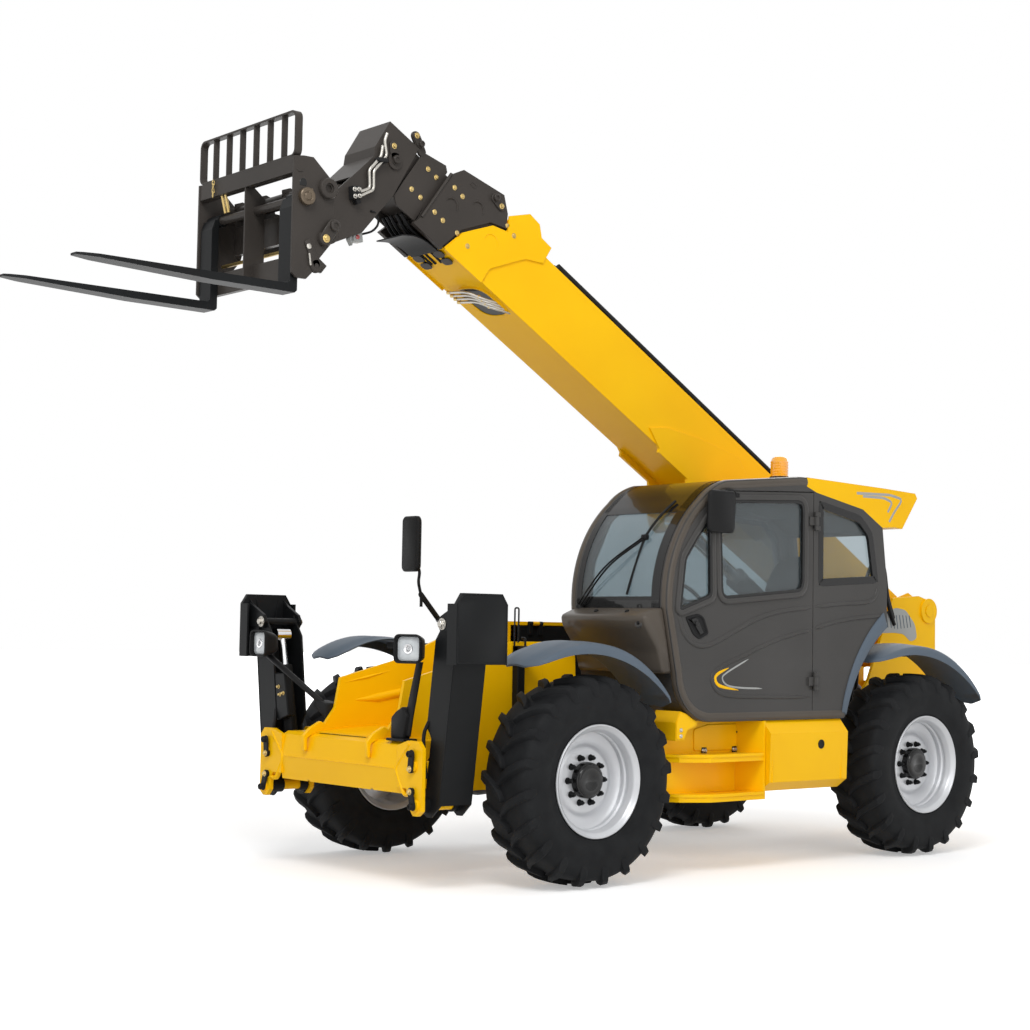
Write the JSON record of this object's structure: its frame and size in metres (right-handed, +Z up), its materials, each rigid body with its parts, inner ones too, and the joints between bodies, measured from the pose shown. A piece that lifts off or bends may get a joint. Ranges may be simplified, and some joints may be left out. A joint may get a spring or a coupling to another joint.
{
  "type": "telehandler",
  "caption": "Telehandler with a raised four-section boom, pallet forks, front stabilisers, cab on the left and engine on the right.",
  "frame": {"origin": "centre of the box round the whole machine at its lowest point, on the ground", "axes": "+X forward along the machine, +Y to the driver's left, +Z up"},
  "size_m": [7.442, 2.4134, 4.5863],
  "materials": {
    "yellow_paint": "satin",
    "boom_grey": "satin",
    "frame_black": "satin",
    "cab_charcoal": "satin",
    "fender_plastic": "matte",
    "black_plastic": "matte",
    "tyre_rubber": "matte",
    "rim_silver": "satin",
    "rod_chrome": "polished",
    "clear_glass": "clear",
    "beacon_amber": "gloss",
    "hose_rubber": "matte",
    "seat_fabric": "matte",
    "cast_dark": "cast"
  },
  "bodies": {
    "chassis": {"chassis_frame": "yellow_paint", "front_beam": "yellow_paint", "front_axle": "frame_black", "rear_axle": "frame_black", "driveline": "cast_dark", "cab_shell": "cab_charcoal", "cab_glass": "clear_glass", "cab_roof": "yellow_paint", "cab_interior": "seat_fabric", "front_cowl": "cab_charcoal", "step_unit": "yellow_paint", "side_box": "yellow_paint", "engine_bay": "frame_black", "engine_block": "cast_dark", "fenders": "fender_plastic", "work_lamps": "black_plastic", "mirrors": "black_plastic", "beacon": "beacon_amber", "rear_weight": "yellow_paint", "lift_foot_pin": "frame_black"},
    "door": {"door_shell": "cab_charcoal", "door_glass": "clear_glass", "door_mirror": "black_plastic"},
    "engine_lid": {"engine_hood": "yellow_paint"},
    "boom_first": {"boom_outer": "yellow_paint", "hose_tubes": "hose_rubber"},
    "boom_second": {"boom_section_1": "boom_grey"},
    "boom_third": {"boom_section_2": "boom_grey"},
    "boom_fourth": {"boom_section_3": "boom_grey"},
    "carriage": {"coupler": "boom_grey", "carriage_frame": "boom_grey", "load_guard": "boom_grey"},
    "left_fork": {"fork_left": "frame_black"},
    "right_fork": {"fork_right": "frame_black"},
    "lift_cylinder": {"lift_barrel": "boom_grey"},
    "lift_piston": {"lift_rod": "rod_chrome"},
    "tilt_cylinder": {"tilt_barrel": "boom_grey"},
    "tilt_piston": {"tilt_rod": "rod_chrome"},
    "leg_left": {"stabiliser_leg_left": "frame_black"},
    "pad_left": {"stabiliser_pad_left": "frame_black"},
    "leg_cylinder_left": {"stabiliser_left_barrel": "frame_black"},
    "leg_piston_left": {"stabiliser_left_rod": "rod_chrome"},
    "leg_right": {"stabiliser_leg_right": "frame_black"},
    "pad_right": {"stabiliser_pad_right": "frame_black"},
    "leg_cylinder_right": {"stabiliser_right_barrel": "frame_black"},
    "leg_piston_right": {"stabiliser_right_rod": "rod_chrome"},
    "swivel_front_left": {"knuckle_front_left": "frame_black"},
    "wheel_front_left": {"rim_front_left": "rim_silver", "tyre_front_left": "tyre_rubber"},
    "swivel_front_right": {"knuckle_front_right": "frame_black"},
    "wheel_front_right": {"rim_front_right": "rim_silver", "tyre_front_right": "tyre_rubber"},
    "swivel_rear_left": {"knuckle_rear_left": "frame_black"},
    "wheel_rear_left": {"rim_rear_left": "rim_silver", "tyre_rear_left": "tyre_rubber"},
    "swivel_rear_right": {"knuckle_rear_right": "frame_black"},
    "wheel_rear_right": {"rim_rear_right": "rim_silver", "tyre_rear_right": "tyre_rubber"}
  },
  "joints": [
    {"name": "boom_lift", "type": "hinge", "parent": "chassis", "child": "boom_first", "pos_m": [-3.541, 0, 1.7], "axis": [0, -1, 0], "range_deg": [-33.3, 39.7]},
    {"name": "boom_extend", "type": "slide", "parent": "boom_first", "child": "boom_second", "axis": [0.8634, 0, 0.5045], "range_m": [0, 3.85]},
    {"name": "boom_extend_2", "type": "slide", "parent": "boom_second", "child": "boom_third", "axis": [0.8634, 0, 0.5045], "range_m": [0, 3.85]},
    {"name": "boom_extend_3", "type": "slide", "parent": "boom_third", "child": "boom_fourth", "axis": [0.8634, 0, 0.5045], "range_m": [0, 3.85]},
    {"name": "carriage_tilt", "type": "hinge", "parent": "boom_fourth", "child": "carriage", "pos_m": [1.944, 0, 3.83], "axis": [0, -1, 0], "range_deg": [-84, 42]},
    {"name": "fork_left_slide", "type": "slide", "parent": "carriage", "child": "left_fork", "axis": [0, 1, 0], "range_m": [-0.34, 0.005]},
    {"name": "fork_right_slide", "type": "slide", "parent": "carriage", "child": "right_fork", "axis": [0, -1, 0], "range_m": [-0.34, 0.005]},
    {"name": "lift_cylinder_swing", "type": "hinge", "parent": "chassis", "child": "lift_cylinder", "pos_m": [-3.191, 0, 1], "axis": [0, -1, 0], "range_deg": [-31.7, 37.78]},
    {"name": "lift_rod_slide", "type": "slide", "parent": "lift_cylinder", "child": "lift_piston", "axis": [0.8459, 0, 0.5333], "range_m": [-0.43394, 0.51716]},
    {"name": "tilt_cylinder_swing", "type": "hinge", "parent": "boom_fourth", "child": "tilt_cylinder", "pos_m": [1.469, 0, 4.345], "axis": [0, -1, 0], "range_deg": [-1.68, 0.84]},
    {"name": "tilt_rod_slide", "type": "slide", "parent": "tilt_cylinder", "child": "tilt_piston", "axis": [0.8076, 0, -0.5898], "range_m": [-0.08235, 0.16445]},
    {"name": "leg_left_swing", "type": "hinge", "parent": "chassis", "child": "leg_left", "pos_m": [1.497, 0.785, 0.5], "axis": [-1, 0, 0], "range_deg": [0, 118]},
    {"name": "pad_left_swing", "type": "hinge", "parent": "leg_left", "child": "pad_left", "pos_m": [1.497, 0.94058, 1.52849], "axis": [1, 0, 0], "range_deg": [0, 40]},
    {"name": "leg_cylinder_left_swing", "type": "hinge", "parent": "chassis", "child": "leg_cylinder_left", "pos_m": [1.497, 0.765, 0.72], "axis": [-1, 0, 0], "range_deg": [-0.13, 125.8]},
    {"name": "leg_rod_left_slide", "type": "slide", "parent": "leg_cylinder_left", "child": "leg_piston_left", "axis": [0, 0.2084, 0.9781], "range_m": [-0.00031, 0.30923]},
    {"name": "leg_right_swing", "type": "hinge", "parent": "chassis", "child": "leg_right", "pos_m": [1.497, -0.785, 0.5], "axis": [1, 0, 0], "range_deg": [0, 118]},
    {"name": "pad_right_swing", "type": "hinge", "parent": "leg_right", "child": "pad_right", "pos_m": [1.497, -0.94058, 1.52849], "axis": [-1, 0, 0], "range_deg": [0, 40]},
    {"name": "leg_cylinder_right_swing", "type": "hinge", "parent": "chassis", "child": "leg_cylinder_right", "pos_m": [1.497, -0.765, 0.72], "axis": [1, 0, 0], "range_deg": [-0.13, 125.8]},
    {"name": "leg_rod_right_slide", "type": "slide", "parent": "leg_cylinder_right", "child": "leg_piston_right", "axis": [0, -0.2084, 0.9781], "range_m": [-0.00031, 0.30923]},
    {"name": "door_swing", "type": "hinge", "parent": "chassis", "child": "door", "pos_m": [-1.299, 1.158, 1.7], "axis": [0, 0, 1], "range_deg": [0, 95]},
    {"name": "engine_lid_swing", "type": "hinge", "parent": "chassis", "child": "engine_lid", "pos_m": [-0.891, -0.418, 1.548], "axis": [-1, 0, 0], "range_deg": [0, 60]},
    {"name": "steer_front_left", "type": "hinge", "parent": "chassis", "child": "swivel_front_left", "pos_m": [0.644, 0.86, 0.625], "axis": [0, 0, 1], "range_deg": [-30, 30]},
    {"name": "steer_front_right", "type": "hinge", "parent": "chassis", "child": "swivel_front_right", "pos_m": [0.644, -0.86, 0.625], "axis": [0, 0, 1], "range_deg": [-30, 30]},
    {"name": "steer_rear_left", "type": "hinge", "parent": "chassis", "child": "swivel_rear_left", "pos_m": [-2.426, 0.86, 0.625], "axis": [0, 0, 1], "range_deg": [-30, 30]},
    {"name": "steer_rear_right", "type": "hinge", "parent": "chassis", "child": "swivel_rear_right", "pos_m": [-2.426, -0.86, 0.625], "axis": [0, 0, 1], "range_deg": [-30, 30]},
    {"name": "roll_front_left", "type": "hinge", "parent": "swivel_front_left", "child": "wheel_front_left", "pos_m": [0.644, 1.005, 0.625], "axis": [0, 1, 0], "continuous": true},
    {"name": "roll_front_right", "type": "hinge", "parent": "swivel_front_right", "child": "wheel_front_right", "pos_m": [0.644, -1.005, 0.625], "axis": [0, 1, 0], "continuous": true},
    {"name": "roll_rear_left", "type": "hinge", "parent": "swivel_rear_left", "child": "wheel_rear_left", "pos_m": [-2.426, 1.005, 0.625], "axis": [0, 1, 0], "continuous": true},
    {"name": "roll_rear_right", "type": "hinge", "parent": "swivel_rear_right", "child": "wheel_rear_right", "pos_m": [-2.426, -1.005, 0.625], "axis": [0, 1, 0], "continuous": true}
  ],
  "couplings": [
    {"joint": "boom_extend_2", "follows": "boom_extend", "ratio": 1},
    {"joint": "boom_extend_3", "follows": "boom_extend", "ratio": 1},
    {"joint": "lift_cylinder_swing", "follows": "boom_lift", "ratio": 0.95},
    {"joint": "lift_rod_slide", "follows": "boom_lift", "m_per_rad": 0.745},
    {"joint": "tilt_cylinder_swing", "follows": "carriage_tilt", "ratio": 0.02},
    {"joint": "tilt_rod_slide", "follows": "carriage_tilt", "m_per_rad": -0.112},
    {"joint": "steer_front_right", "follows": "steer_front_left", "ratio": 1},
    {"joint": "steer_rear_right", "follows": "steer_rear_left", "ratio": 1},
    {"joint": "leg_cylinder_left_swing", "follows": "leg_left_swing", "ratio": 1.065},
    {"joint": "leg_rod_left_slide", "follows": "leg_left_swing", "m_per_rad": 0.15},
    {"joint": "leg_cylinder_right_swing", "follows": "leg_right_swing", "ratio": 1.065},
    {"joint": "leg_rod_right_slide", "follows": "leg_right_swing", "m_per_rad": 0.15}
  ]
}
